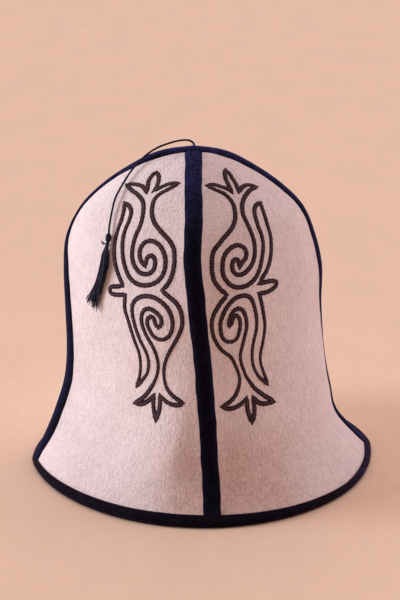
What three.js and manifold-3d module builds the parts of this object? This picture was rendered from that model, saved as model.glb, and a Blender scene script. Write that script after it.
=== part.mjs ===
// A tall felt hat sewn from four gores, with velvet tape over the seams, a bound brim and a
// corded tassel. Millimetres, +Z up. The front seam faces -Y and the brim stands on z = 0.

import * as THREE from "three";
import { ParametricGeometry } from "three/addons/geometries/ParametricGeometry.js";
import { mergeVertices } from "three/addons/utils/BufferGeometryUtils.js";
import Module from "manifold-3d";

// Driving dimensions
const WALL = 2.8; // felt thickness
const GAP = 0.4; // clearance between sewn pieces
const LAID_GAP = 0.6; // clearance under a tape or binding laid on the felt
const TAPE_WIDTH = 12.6;
const TAPE_THICK = 1.0;
const BINDING_THICK = 1.2;
const BINDING_TOP = 6.6; // height up the felt that the binding covers
const TAPE_FOOT = 7.8; // height where the tapes begin, above the binding
const FELT_EDGE = 3.8; // height of the felt's outer cut edge, inside the binding
const RIDGE_HEIGHT = 2.0; // the sewn seams stand out from the felt between them
const RIDGE_WIDTH = 8.0;
const RIDGE_FULL = 30.0; // height and radius past which the ridge is at its full height
const CORD_DIAMETER = 1.6;
const TASSEL_HEAD_WIDTH = 4.8;
const TASSEL_HEAD_LENGTH = 7.0;
const LOCK_COUNT = 9;
const LOCK_WIDTH = 2.5;
const LOCK_UNEVEN = 1.0; // step between the lengths of neighbouring locks
const SKIRT_SPREAD = 4.2; // sideways reach of the outer locks at the free end
const SKIRT_DEPTH = 1.3; // reach of the locks towards and away from the felt

// Horizontal sections from the brim to the apex: the height, the sideways shift of the centre,
// the half width and half depth, the roundness of the front left, the front right and the back
// (2 is an ellipse, less is drawn flat between the folds), the turn of the front and back folds,
// the place of the seams, how far the side folds swing from it to the front, and how far round
// the left, the right and the front seam wander from there, in degrees about the vertical.
const COLUMNS = [
  "z", "shift", "side", "depth", "left", "right", "back", "turn", "seam", "swing",
  "leftWander", "rightWander", "frontWander",
];
const SECTIONS = [
  [0, 0.0, 136.2, 138.6, 2.02, 2.06, 1.56, -6, 3.6, 12, 0, 0, 0],
  [10, -3.3, 125.2, 125.0, 1.82, 1.96, 1.52, -8, 4.2, 9, 0, 0, 0.2],
  [28, -8.0, 111.8, 111.4, 1.56, 1.8, 1.54, -8, 4.6, 5, 4.5, 2.5, 2.5],
  [48, -6.1, 105.4, 105.5, 1.5, 1.76, 1.6, -7, 4.0, 2, 6.5, 4.6, 1.65],
  [68, -4.6, 100.8, 102.0, 1.5, 1.74, 1.6, -5, 4.0, 0, 8, 6.2, 0.3],
  [91, -5.3, 98.0, 99.0, 1.54, 1.72, 1.62, -3, 4.4, 0, 8.5, 6, -0.5],
  [121, -7.9, 95.9, 95.0, 1.57, 1.7, 1.64, -1, 3.6, 0, 8, 2.5, 0.35],
  [152, -7.7, 94.5, 89.0, 1.6, 1.68, 1.64, 0, 1.8, 0, 3.5, -2.5, 0.2],
  [176, -9.0, 89.9, 79.5, 1.6, 1.66, 1.63, 0, 1.3, 0, -1.5, -2, 0],
  [197, -8.3, 80.0, 67.0, 1.6, 1.64, 1.62, 0, 1.3, 0, -4, -1, 0],
  [214, -8.0, 63.0, 49.0, 1.6, 1.6, 1.6, 0, 1.6, 0, -5, 0, 0],
  [228, -7.6, 42.4, 29.0, 1.6, 1.6, 1.6, 0, 1.6, 0, -3, 0.5, 0],
  [238, -7.2, 22.5, 10.5, 1.6, 1.6, 1.6, 0, 1.6, 0, 0, 0, 0],
  [242, -6.6, 0.0, 0.0, 1.6, 1.6, 1.6, 0, 1.6, 0, 0, 0, 0],
];
const APEX = SECTIONS.length - 1;
// The seams are counted in quarter turns from the right one.
const RIGHT = 0;
const BACK = 1;
const LEFT = 2;
const FRONT = 3;
const SWING_SHARES = [-0.4, 0, 1, 0]; // each seam's share of the swing

// Mesh steps
const ROW_STEP = 0.65; // in sections
const ROW_LEAST = 0.1;
const CROWN_SHORT = 0.15; // the gores end this far under the tape that crosses the apex
const PANEL_COLUMNS = 16;
const TAPE_COLUMNS = 4;
const BINDING_STEPS = 64;
const CORD_STEPS = 40;
const CORD_SIDES = 8;
const LOCK_STEPS = 6;
const LOCK_SIDES = 6;
const HEAD_SIDES = 12;
const HEAD_RINGS = 8;

// Reaches of the searches for a place on the felt
const HALVINGS = 40;
const SLOPE_REACH = 1e-3; // in sections
const LIFT_MOST = 3;
const DROP_MOST = 12;
const MERGE_REACH = 1e-4;
const LEAST_RADIUS = 1e-6;

// Middle line of the cord, from the apex over the left shoulder to the tassel's head
const CORD_ROUTE = [
  [-6.8, 4.0, 243.8],
  [-9.7, 1.1, 246.6],
  [-14.2, -1.0, 247.4],
  [-19.6, -2.1, 246.8],
  [-25.8, -3.1, 245.2],
  [-32.0, -4.0, 243.0],
  [-38.0, -5.0, 239.8],
  [-43.4, -6.6, 235.8],
  [-48.0, -9.2, 231.6],
  [-52.8, -13.8, 226.6],
  [-58.2, -21.4, 219.4],
  [-63.2, -29.8, 211.2],
  [-65.6, -37.4, 202.4],
  [-66.9, -43.2, 195.2],
  [-67.4, -47.3, 189.8],
];
// Middle line of the tassel, which lies down the front left gore
const TASSEL_ROUTE = [
  [-67.6, -47.6, 189.3],
  [-69.2, -52.0, 182.0],
  [-72.0, -57.6, 165.5],
  [-81.8, -53.0, 136.4],
];
// Stops of a lock: share of the tassel's length, and of the spread and depth of its skirt
const LOCK_STOPS = [
  [0.09, 0.12, 0.25],
  [0.21, 0.3, 0.6],
  [0.57, 0.62, 1.0],
  [1.0, 1.0, 1.0],
];

const FELT = { color: 0xe8d8d4, roughness: 0.95, metalness: 0 };
const VELVET = { color: 0x14121e, roughness: 0.9, metalness: 0 };
const YARN = { color: 0x171a2b, roughness: 0.85, metalness: 0 };

const wasm = await Module();
wasm.setup();

const radians = THREE.MathUtils.degToRad;

function catmullRom(a, b, c, d, t) {
  const linear = c - a;
  const square = 2 * a - 5 * b + 4 * c - d;
  const cube = 3 * b - a - 3 * c + d;
  return 0.5 * (2 * b + linear * t + square * t * t + cube * t * t * t);
}

// The columns' values at a level, which counts sections from the brim and need not be whole.
function sectionAt(level) {
  const row = Math.min(Math.max(Math.floor(level), 0), APEX - 1);
  const section = {};
  COLUMNS.forEach((name, column) => {
    const value = (index) => SECTIONS[index][column];
    const before = row > 0 ? value(row - 1) : 2 * value(0) - value(1);
    const after = row < APEX - 1 ? value(row + 2) : 2 * value(APEX) - value(APEX - 1);
    section[name] = catmullRom(before, value(row), value(row + 1), after, level - row);
  });
  return section;
}

function bisect(low, high, isBelow) {
  for (let step = 0; step < HALVINGS; step += 1) {
    const middle = (low + high) / 2;
    if (isBelow(middle)) {
      low = middle;
    } else {
      high = middle;
    }
  }
  return (low + high) / 2;
}

function levelAt(height) {
  return bisect(0, APEX, (level) => sectionAt(level).z < height);
}

// Direction of a seam about the vertical: the back one keeps to the seams' place, and the
// others wander from it.
function seamPlace(section, seam) {
  const quarter = seam % 4;
  const wander = [section.rightWander, 0, section.leftWander, section.frontWander][quarter];
  return radians(90 * seam + section.seam + SWING_SHARES[quarter] * section.swing + wander);
}

// Radius of a section in one direction: a Lamé curve with a low ridge at each of the seams.
function radiusAt(section, direction) {
  const nearSide = Math.cos(direction) < 0 ? LEFT : RIGHT;
  const sideTurn = section.seam + SWING_SHARES[nearSide] * section.swing;
  const turn = THREE.MathUtils.lerp(section.turn, sideTurn, Math.cos(direction) ** 2);
  const fold = direction - radians(turn);
  const front = Math.cos(fold) < 0 ? section.left : section.right;
  const power = Math.sin(fold) < 0 ? front : section.back;
  const across = Math.abs(Math.cos(fold)) / Math.max(section.side, LEAST_RADIUS);
  const along = Math.abs(Math.sin(fold)) / Math.max(section.depth, LEAST_RADIUS);
  const plain = (across ** power + along ** power) ** (-1 / power);
  const turnsFromSeam = [0, 1, 2, 3].map((seam) => {
    const away = direction - seamPlace(section, seam);
    return Math.abs(Math.atan2(Math.sin(away), Math.cos(away)));
  });
  const fromSeam = plain * Math.min(...turnsFromSeam);
  const full = Math.min(plain / RIDGE_FULL, 1) * Math.min(section.z / RIDGE_FULL, 1);
  return plain + RIDGE_HEIGHT * full * Math.exp(-((fromSeam / RIDGE_WIDTH) ** 2));
}

// A bearing counts gores from the right seam, and need not be whole.
function directionAt(section, bearing) {
  const gore = Math.floor(bearing);
  const first = seamPlace(section, gore);
  return THREE.MathUtils.lerp(first, seamPlace(section, gore + 1), bearing - gore);
}

// Outer face of the felt.
function feltPoint(level, bearing) {
  const section = sectionAt(level);
  const direction = directionAt(section, bearing);
  const radius = radiusAt(section, direction);
  const x = section.shift + radius * Math.cos(direction);
  return new THREE.Vector3(x, radius * Math.sin(direction), section.z);
}

function radialAt(level, bearing) {
  const direction = directionAt(sectionAt(level), bearing);
  return new THREE.Vector3(Math.cos(direction), Math.sin(direction), 0);
}

// Normal of the felt in the upright plane of a bearing, so that seams meet on one plane.
function feltNormal(level, bearing) {
  const above = feltPoint(level + SLOPE_REACH, bearing);
  const slope = above.sub(feltPoint(level - SLOPE_REACH, bearing));
  const radial = radialAt(level, bearing);
  const normal = radial.clone().multiplyScalar(slope.z);
  normal.z -= slope.dot(radial);
  return normal.normalize();
}

function offsetPoint(level, bearing, offset) {
  return feltPoint(level, bearing).addScaledVector(feltNormal(level, bearing), offset);
}

function isOutside(point) {
  if (point.z >= SECTIONS[APEX][0]) {
    return true;
  }
  const section = sectionAt(levelAt(point.z));
  const x = point.x - section.shift;
  return Math.hypot(x, point.y) > radiusAt(section, Math.atan2(point.y, x));
}

const edgeLevel = levelAt(FELT_EDGE);
const tapeLevel = levelAt(TAPE_FOOT);
const crownLevel = APEX - CROWN_SHORT;

// Rows that the gores and tapes share, from the tapes' feet up to a level.
function rowLevels(end) {
  const levels = [tapeLevel];
  for (let level = 2 * ROW_STEP; level < end - ROW_LEAST; level += ROW_STEP) {
    levels.push(level);
  }
  levels.push(end);
  return levels;
}

// Closed sheet of rows by columns points with two faces. Its first and last rows are closed by
// strips that meet half way through the sheet.
function sheetGeometry(rows, columns, upperPoint, lowerPoint) {
  const around = 2 * columns + 2;
  const place = (u, v, target) => {
    const step = Math.round(u * around) % around;
    const isUpper = step <= columns;
    const column = isUpper ? step : around - 1 - step;
    const line = Math.round(v * (rows + 1));
    const row = Math.min(Math.max(line - 1, 0), rows - 1);
    const isEnd = line === 0 || line === rows + 1;
    const near = isUpper ? upperPoint(row, column) : lowerPoint(row, column);
    const far = isUpper ? lowerPoint(row, column) : upperPoint(row, column);
    target.copy(near);
    if (isEnd) {
      target.lerp(far, 0.5);
    }
  };
  return new ParametricGeometry(place, around, rows + 1);
}

// Share of a gore that its edge keeps from a seam, so that the inner faces keep the gap too.
function seamInset(level, seam, gore) {
  const section = sectionAt(level);
  const radius = radiusAt(section, seamPlace(section, seam));
  const normal = feltNormal(level, seam);
  const angle = GAP / 2 / (radius - WALL * Math.hypot(normal.x, normal.y));
  return angle / (seamPlace(section, gore + 1) - seamPlace(section, gore));
}

function feltPanel(gore) {
  const levels = [edgeLevel, ...rowLevels(crownLevel)];
  const place = (row, column, offset) => {
    const level = levels[row];
    const first = gore + seamInset(level, gore, gore);
    const last = gore + 1 - seamInset(level, gore + 1, gore);
    const bearing = THREE.MathUtils.lerp(first, last, column / PANEL_COLUMNS);
    return offsetPoint(level, bearing, offset);
  };
  const outer = (row, column) => place(row, column, 0);
  const inner = (row, column) => place(row, column, -WALL);
  return sheetGeometry(levels.length, PANEL_COLUMNS, outer, inner);
}

// A stop along a seam: its place on the felt, its normal, and the direction across the tape.
function seamStop(level, bearing) {
  const radial = radialAt(level, bearing);
  const isApex = level >= APEX;
  return {
    middle: feltPoint(level, bearing),
    normal: isApex ? new THREE.Vector3(0, 0, 1) : feltNormal(level, bearing),
    across: new THREE.Vector3(-radial.y, radial.x, 0),
  };
}

// A tape laid on the felt along a row of stops: each point goes sideways, and drops to the felt.
function tapeGeometry(stops) {
  const bases = stops.map((stop) => {
    const points = [];
    for (let column = 0; column <= TAPE_COLUMNS; column += 1) {
      const sideways = (column / TAPE_COLUMNS - 0.5) * TAPE_WIDTH;
      const start = stop.middle.clone().addScaledVector(stop.across, sideways);
      const dropped = (drop) => start.clone().addScaledVector(stop.normal, -drop);
      const isClear = (drop) => isOutside(dropped(drop));
      points.push(dropped(bisect(-LIFT_MOST, DROP_MOST, isClear)));
    }
    return points;
  });
  const place = (row, column, offset) =>
    bases[row][column].clone().addScaledVector(stops[row].normal, offset);
  const upper = (row, column) => place(row, column, LAID_GAP + TAPE_THICK);
  const lower = (row, column) => place(row, column, LAID_GAP);
  return sheetGeometry(stops.length, TAPE_COLUMNS, upper, lower);
}

// One tape runs from the left of the brim over the apex to the right of the brim.
function acrossTape() {
  const levels = rowLevels(crownLevel);
  const left = levels.map((level) => seamStop(level, LEFT));
  const right = levels.map((level) => seamStop(level, RIGHT)).reverse();
  right.forEach((stop) => stop.across.negate());
  return tapeGeometry([...left, seamStop(APEX, LEFT), ...right]);
}

// The front and back tapes end against the edge of the one that crosses the apex.
function frontOrBackTape(bearing) {
  const apex = feltPoint(APEX, bearing);
  const clear = TAPE_WIDTH / 2 + GAP;
  const isShort = (level) => feltPoint(level, bearing).setZ(apex.z).distanceTo(apex) > clear;
  const end = bisect(APEX - 2, APEX, isShort);
  return tapeGeometry(rowLevels(end).map((level) => seamStop(level, bearing)));
}

// Ring with a U section folded over the felt's edge, flat where it stands.
function brimBinding() {
  const topLevel = levelAt(BINDING_TOP);
  const near = LAID_GAP;
  const far = LAID_GAP + BINDING_THICK;
  const sectionPoints = (bearing) => {
    const edge = feltPoint(edgeLevel, bearing);
    const normal = feltNormal(edgeLevel, bearing);
    const radial = radialAt(edgeLevel, bearing);
    const rise = normal.z;
    const run = normal.dot(radial);
    const down = radial.clone().multiplyScalar(rise).setZ(-run);
    const place = (along, out) =>
      edge.clone().addScaledVector(down, along).addScaledVector(normal, out);
    const sunk = -place(far, -WALL - far).z;
    return [
      place(near, near),
      place(near, -WALL - near),
      offsetPoint(topLevel, bearing, -WALL - near),
      offsetPoint(topLevel, bearing, -WALL - far),
      place(far - sunk / run, -WALL - far).setZ(0),
      place(far, -WALL - far + sunk / rise).setZ(0),
      place(far, near),
      place(near, far),
      offsetPoint(topLevel, bearing, far),
      offsetPoint(topLevel, bearing, near),
    ];
  };
  const rings = [];
  for (let step = 0; step < BINDING_STEPS; step += 1) {
    rings.push(sectionPoints((step / BINDING_STEPS) * 4));
  }
  const corners = rings[0].length;
  const place = (u, v, target) => {
    const ring = rings[Math.round(u * BINDING_STEPS) % BINDING_STEPS];
    target.copy(ring[Math.round(v * corners) % corners]);
  };
  return new ParametricGeometry(place, BINDING_STEPS, corners);
}

function roundShape(diameter, sides) {
  const shape = new THREE.Shape();
  for (let side = 0; side < sides; side += 1) {
    const angle = (side / sides) * 2 * Math.PI;
    const x = (diameter / 2) * Math.cos(angle);
    const y = (diameter / 2) * Math.sin(angle);
    if (side === 0) {
      shape.moveTo(x, y);
    } else {
      shape.lineTo(x, y);
    }
  }
  shape.closePath();
  return shape;
}

function tubeAlong(points, diameter, sides, steps) {
  const path = new THREE.CatmullRomCurve3(points);
  const settings = { steps, extrudePath: path, bevelEnabled: false };
  return new THREE.ExtrudeGeometry(roundShape(diameter, sides), settings);
}

function tasselCord() {
  const points = CORD_ROUTE.map((place) => new THREE.Vector3(...place));
  return tubeAlong(points, CORD_DIAMETER, CORD_SIDES, CORD_STEPS);
}

function mergedByPlace(geometry) {
  geometry.deleteAttribute("normal");
  geometry.deleteAttribute("uv");
  return mergeVertices(geometry, MERGE_REACH);
}

function toSolid(geometry) {
  const merged = mergedByPlace(geometry);
  const vertProperties = new Float32Array(merged.getAttribute("position").array);
  const triVerts = new Uint32Array(merged.getIndex().array);
  return new wasm.Manifold(new wasm.Mesh({ numProp: 3, vertProperties, triVerts }));
}

function toGeometry(solid) {
  const mesh = solid.getMesh();
  const geometry = new THREE.BufferGeometry();
  geometry.setAttribute("position", new THREE.BufferAttribute(mesh.vertProperties, 3));
  geometry.setIndex(new THREE.BufferAttribute(mesh.triVerts, 1));
  return geometry;
}

// A round head, and locks of yarn that leave it together and spread towards their ends.
function tassel() {
  const line = new THREE.CatmullRomCurve3(TASSEL_ROUTE.map((place) => new THREE.Vector3(...place)));
  const length = line.getLength();
  const frameAt = (share) => {
    const middle = line.getPointAt(share);
    const axis = line.getTangentAt(share);
    const turns = Math.atan2(middle.y, middle.x) / (2 * Math.PI);
    const outward = feltNormal(levelAt(middle.z), 4 * (turns + 1));
    const sideways = new THREE.Vector3().crossVectors(axis, outward).normalize();
    const away = new THREE.Vector3().crossVectors(sideways, axis);
    return { middle, axis, sideways, away };
  };
  const place = (share, side, out) => {
    const { middle, sideways, away } = frameAt(share);
    return middle.addScaledVector(sideways, side).addScaledVector(away, out);
  };
  const head = frameAt(TASSEL_HEAD_LENGTH / 2 / length);
  const headSphere = new THREE.SphereGeometry(TASSEL_HEAD_WIDTH / 2, HEAD_SIDES, HEAD_RINGS);
  headSphere.scale(1, TASSEL_HEAD_LENGTH / TASSEL_HEAD_WIDTH, 1);
  headSphere.applyMatrix4(new THREE.Matrix4().makeBasis(head.sideways, head.axis, head.away));
  headSphere.translate(head.middle.x, head.middle.y, head.middle.z);
  let solid = toSolid(headSphere);
  for (let lock = 0; lock < LOCK_COUNT; lock += 1) {
    const angle = (lock / LOCK_COUNT) * 2 * Math.PI;
    const side = SKIRT_SPREAD * Math.cos(angle);
    const out = SKIRT_DEPTH * Math.sin(angle);
    const reach = 1 - ((lock % 3) * LOCK_UNEVEN) / length;
    const stops = LOCK_STOPS.map(([share, spread, depth]) =>
      place(share * reach, side * spread, out * depth),
    );
    solid = solid.add(toSolid(tubeAlong(stops, LOCK_WIDTH, LOCK_SIDES, LOCK_STEPS)));
  }
  return toGeometry(solid);
}

function piece(name, geometry, look) {
  const mesh = new THREE.Mesh(geometry, new THREE.MeshStandardMaterial(look));
  mesh.name = name;
  return mesh;
}

const hat = new THREE.Group();
const panelNames = ["back_right", "back_left", "front_left", "front_right"];
panelNames.forEach((place, gore) => {
  hat.add(piece(`felt_panel_${place}`, feltPanel(gore), FELT));
});
hat.add(piece("seam_tape_across", acrossTape(), VELVET));
hat.add(piece("seam_tape_front", frontOrBackTape(FRONT), VELVET));
hat.add(piece("seam_tape_back", frontOrBackTape(BACK), VELVET));
hat.add(piece("brim_binding", brimBinding(), VELVET));
hat.add(piece("tassel_cord", tasselCord(), YARN));
hat.add(piece("tassel", tassel(), YARN));

export default hat;
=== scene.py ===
"""Looks of a tall felt hat: four felt gores with stitched scrolls, velvet seam tapes, a bound
brim and a corded tassel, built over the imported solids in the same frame.

Shapes are worked out in millimetres on the hat's own surface and stored in metres.
"""

import math

import bpy
import numpy as np
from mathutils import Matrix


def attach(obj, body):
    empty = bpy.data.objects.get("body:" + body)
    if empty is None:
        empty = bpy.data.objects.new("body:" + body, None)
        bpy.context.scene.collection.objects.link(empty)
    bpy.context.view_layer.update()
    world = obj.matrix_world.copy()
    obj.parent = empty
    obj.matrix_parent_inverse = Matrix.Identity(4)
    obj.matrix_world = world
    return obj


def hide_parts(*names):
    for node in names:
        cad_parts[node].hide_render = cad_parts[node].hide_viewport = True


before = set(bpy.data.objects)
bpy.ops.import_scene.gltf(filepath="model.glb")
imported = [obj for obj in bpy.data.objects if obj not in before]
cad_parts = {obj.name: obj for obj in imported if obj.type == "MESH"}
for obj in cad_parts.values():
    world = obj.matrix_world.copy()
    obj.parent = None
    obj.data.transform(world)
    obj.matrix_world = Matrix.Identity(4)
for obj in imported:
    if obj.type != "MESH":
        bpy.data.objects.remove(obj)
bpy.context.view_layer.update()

bl_info = {
    "name": "Felt hat looks",
    "version": (1, 0, 0),
    "blender": (4, 5, 0),
    "location": "View3D > Sidebar > Felt hat",
    "description": "Felt, velvet, stitching and tassel of a tall felt hat",
    "category": "Object",
}

MM = 0.001
BODY = "root"

# Horizontal sections of the felt from the brim to the apex, in millimetres and degrees: height,
# sideways shift, half width, half depth, roundness of the front left, the front right and the
# back, turn of the front and back folds, place of the seams, swing of the side folds, and how
# far round the left, the right and the front seam wander from there.
COLUMNS = ("z", "shift", "side", "depth", "left", "right", "back", "turn", "seam", "swing",
           "left_wander", "right_wander", "front_wander")
SECTIONS = np.array([
    (0, 0.0, 136.2, 138.6, 2.02, 2.06, 1.56, -6, 3.6, 12, 0, 0, 0),
    (10, -3.3, 125.2, 125.0, 1.82, 1.96, 1.52, -8, 4.2, 9, 0, 0, 0.2),
    (28, -8.0, 111.8, 111.4, 1.56, 1.8, 1.54, -8, 4.6, 5, 4.5, 2.5, 2.5),
    (48, -6.1, 105.4, 105.5, 1.5, 1.76, 1.6, -7, 4.0, 2, 6.5, 4.6, 1.65),
    (68, -4.6, 100.8, 102.0, 1.5, 1.74, 1.6, -5, 4.0, 0, 8, 6.2, 0.3),
    (91, -5.3, 98.0, 99.0, 1.54, 1.72, 1.62, -3, 4.4, 0, 8.5, 6, -0.5),
    (121, -7.9, 95.9, 95.0, 1.57, 1.7, 1.64, -1, 3.6, 0, 8, 2.5, 0.35),
    (152, -7.7, 94.5, 89.0, 1.6, 1.68, 1.64, 0, 1.8, 0, 3.5, -2.5, 0.2),
    (176, -9.0, 89.9, 79.5, 1.6, 1.66, 1.63, 0, 1.3, 0, -1.5, -2, 0),
    (197, -8.3, 80.0, 67.0, 1.6, 1.64, 1.62, 0, 1.3, 0, -4, -1, 0),
    (214, -8.0, 63.0, 49.0, 1.6, 1.6, 1.6, 0, 1.6, 0, -5, 0, 0),
    (228, -7.6, 42.4, 29.0, 1.6, 1.6, 1.6, 0, 1.6, 0, -3, 0.5, 0),
    (238, -7.2, 22.5, 10.5, 1.6, 1.6, 1.6, 0, 1.6, 0, 0, 0, 0),
    (242, -6.6, 0.0, 0.0, 1.6, 1.6, 1.6, 0, 1.6, 0, 0, 0, 0),
], float)
APEX = len(SECTIONS) - 1
RIGHT, BACK, LEFT, FRONT = range(4)
SWING_SHARES = np.array([-0.4, 0.0, 1.0, 0.0])
GORES = ("back_right", "back_left", "front_left", "front_right")
RIDGE_HEIGHT, RIDGE_WIDTH, RIDGE_FULL = 2.0, 8.0, 30.0
# Waves of the hand-shaped felt: turns round the hat, millimetres of height to a radian, and phase
FELT_WAVES = ((5, 21.0, 0.0), (9, -17.0, 1.3), (3, 34.0, 4.0))
WAVE_HEIGHT = 0.3
LEAST_RADIUS = 1e-6
SLOPE_REACH = 1e-3
DROP_REACH, DROP_HALVINGS = (-3.0, 12.0), 30  # search for the felt along a normal
SEARCH_LEVELS, SEARCH_BEARINGS, SEARCH_EDGE = 90, 60, 0.02  # grid of places on a gore
NEWTON_ROUNDS, LEVEL_STEP, BEARING_STEP = 8, 0.3, 0.1
PLACE_MISS = 0.5  # most that a found place may miss by in the photograph's frame
PATH_PARTS = 60  # parts of a smooth path between two of its points

GORE_ROWS, GORE_COLUMNS, SEAM_GAP = 150, 90, 0.0015  # the gap is a share of a gore's width
FELT_EDGE = 3.8  # height of the felt's cut edge inside the binding
# Height up the felt that the binding covers, by bearing: quarter turns from the right
BINDING_TOPS = np.array([
    (0, 6.3), (0.5, 5.4), (1, 5.0), (1.5, 5.2), (2, 5.6), (2.5, 6.6), (2.8, 7.4), (3, 7.1),
    (3.3, 5.8), (3.6, 4.8), (3.85, 5.3), (4, 6.3)])
BINDING_ROUND, BINDING_FACE, BINDING_TURN = 360, 7, 13  # points round the brim, up and under it
BINDING_SEWN = 0.1  # depth of the binding's inner face in the felt
CROWN_SHORT = 0.05  # the gores end this many sections below the apex

TAPE_FOOT = 4.4  # height where the tapes begin, under the binding
TAPE_SHORT = 0.02  # the tapes end this many sections below the apex
TAPE_ROWS, TAPE_COLUMNS = 150, 15
TAPE_CLEAR = 0.2  # gap between the tape across and those that end against it
TAPE_EDGE, TAPE_SEWN = 0.25, 0.15  # height of the edges, and depth in the felt
# Sewing by hand: share or millimetres, millimetres of run to a radian, and phase
TAPE_SWELL = ((0.015, 11.0, 0), (0.012, 3.7, 1))
TAPE_WAVER = ((0.18, 8.3, 0), (0.12, 2.9, 2))

# Middle line of the cord from the apex to the tassel's head, in millimetres, and its end that is
# sewn in under the tape's pile
CORD_ROOT = np.array([(-6.2, 4.6, 241.6)])
CORD_ROUTE = np.array([
    (-6.8, 4.0, 243.8), (-9.7, 1.1, 246.6), (-14.2, -1.0, 247.4), (-19.6, -2.1, 246.8),
    (-25.8, -3.1, 245.2), (-32.0, -4.0, 243.0), (-38.0, -5.0, 239.8), (-43.4, -6.6, 235.8),
    (-48.0, -9.2, 231.6), (-52.8, -13.8, 226.6), (-58.2, -21.4, 219.4), (-63.2, -29.8, 211.2),
    (-65.6, -37.4, 202.4), (-66.9, -43.2, 195.2), (-67.4, -47.3, 189.8),
])
CORD_STEPS, CORD_CORNERS = 260, 24
CORD_TURN = 4.2  # run of the cord in which its three plies turn once
# Rough ways outwards from the felt along the cord and the tassel
CORD_OUTWARD, SKIRT_OUTWARD = np.array([0.3, -0.5, 1.0]), np.array([0.2, -1.0, 0.3])

# The photograph's frame, and the camera that took it
FRAME_PX = (400.0, 600.0)
FOCAL_PX = 1388.0
CAMERA_TARGET = np.array([-2.05, 0.0, 122.7])
CAMERA_DISTANCE = 1060.0
CAMERA_ELEVATION = math.radians(19.5)
SENSOR = 36.0

# Middle line of the tassel, from the knot's top to the free end, by points in that frame, with
# the height of the line above the felt and the half width of the yarn there in millimetres
TASSEL_PLACES = np.array([
    (108.8, 233.0), (108.3, 239.0), (107.6, 243.5), (106.5, 248), (105.4, 255), (104.4, 264),
    (101.8, 275), (98.3, 286), (94.6, 296.5), (91.6, 306),
])
TASSEL_LIFT = np.array([2.4, 2.6, 2.4, 2.3, 2.5, 2.6, 2.5, 2.4, 2.2, 2.0])
SKIRT_WIDTHS = np.array([0.4, 0.4, 0.9, 1.4, 3.2, 3.8, 3.7, 4.1, 5.4, 6.6])
TASSEL_STEPS = 120
STEPS, CORNERS = 26, 5  # points along and round each thread of the skirt
LOCKS = 9  # locks that the threads gather in at their ends
KNOT_ROWS, KNOT_COLUMNS = 60, 40
# Knot's bulb and bound neck: radius, and the middle and half length as shares of the knot's length
BULB_RADIUS, BULB_MIDDLE, BULB_HALF = 2.1, 0.38, 0.39
NECK_RADIUS, NECK_MIDDLE, NECK_HALF = 1.15, 0.82, 0.2
# Shares of the tassel's length: the knot's, and where the threads and the tie ends begin
KNOT_LENGTH, SKIRT_START, TIE_START = 0.17, 0.145, 0.15
TIES = ((5.0, 1.6), (4.8, 1.3), (4.6, 0.9), (4.4, -0.2), (4.2, -0.6), (3.2, -1.2))  # length, rise
THREAD_RADIUS = 0.36
SKIRT_SEED, TONE_SEED = 7, 11

# Width of the stitched lines by their height in millimetres, as a share of the full width
STITCH_BOLD = np.array([(72, 1.1), (86, 0.97), (97, 0.7), (150, 1.0)])
STITCH_SEWN = 0.35  # depth of the lines in the felt
LINE_WAVER = ((0.06, 1 / 2.9, 0), (0.06, 1 / 1.7, 1))  # as the tapes' swell
LINE_COLUMNS, LINE_STEPS = 9, 1.6  # points across a line, and along it to a point of the frame
PIXEL_MIDDLE = 0.5

# Painted light, with places in metres: a navy painted sheen on the velvet above a height and past a
# place on the right, and painted shade with warm bounce light on the felt below a height, most
# beside the front seam
PAINTED_SHEEN_NAVY, PAINTED_SHEEN_HEIGHT, PAINTED_SHEEN_SIDE = (0.012, 0.011, 0.044), 0.19, 0.1
PAINTED_SHADE_FELT, PAINTED_SHADE_TOP, PAINTED_SHADE_SIDE = (0.78, 0.575, 0.52), 0.062, 0.02
# Colours of the pile and the twist where they catch the light
TAPE_SHEEN, BINDING_SHEEN = (0.24, 0.25, 0.95), (0.3, 0.14, 0.2)
YARN_FLECK, SCROLL_FLECK = (0.066, 0.07, 0.125), (0.088, 0.048, 0.062)
MIX_SHARE, MIX_FIRST, MIX_SECOND, MIX_RESULT = 0, 6, 7, 2  # colour sockets of a Mix node
YARN_SHARP, VELVET_SHARP, FELT_SHARP = 80.0, 75.0, 50.0  # degrees between faces at sharp edges

FLOOR_REACH = 30.0  # metres
# Broad even lights: degrees round from the camera, above the floor and spanned; strength; colour
LIGHTS = {
    "left": (-92, 14, 30, 3.2, (0.83, 0.89, 0.98)),
    "right": (100, 9, 40, 1.3, (0.97, 0.91, 1.0)),
    "above": (175, 60, 85, 1.6, (1.0, 0.88, 0.87)),
}
WORLD_COLOUR, WORLD_STRENGTH = (1.0, 0.6, 0.52, 1), 0.235

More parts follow.
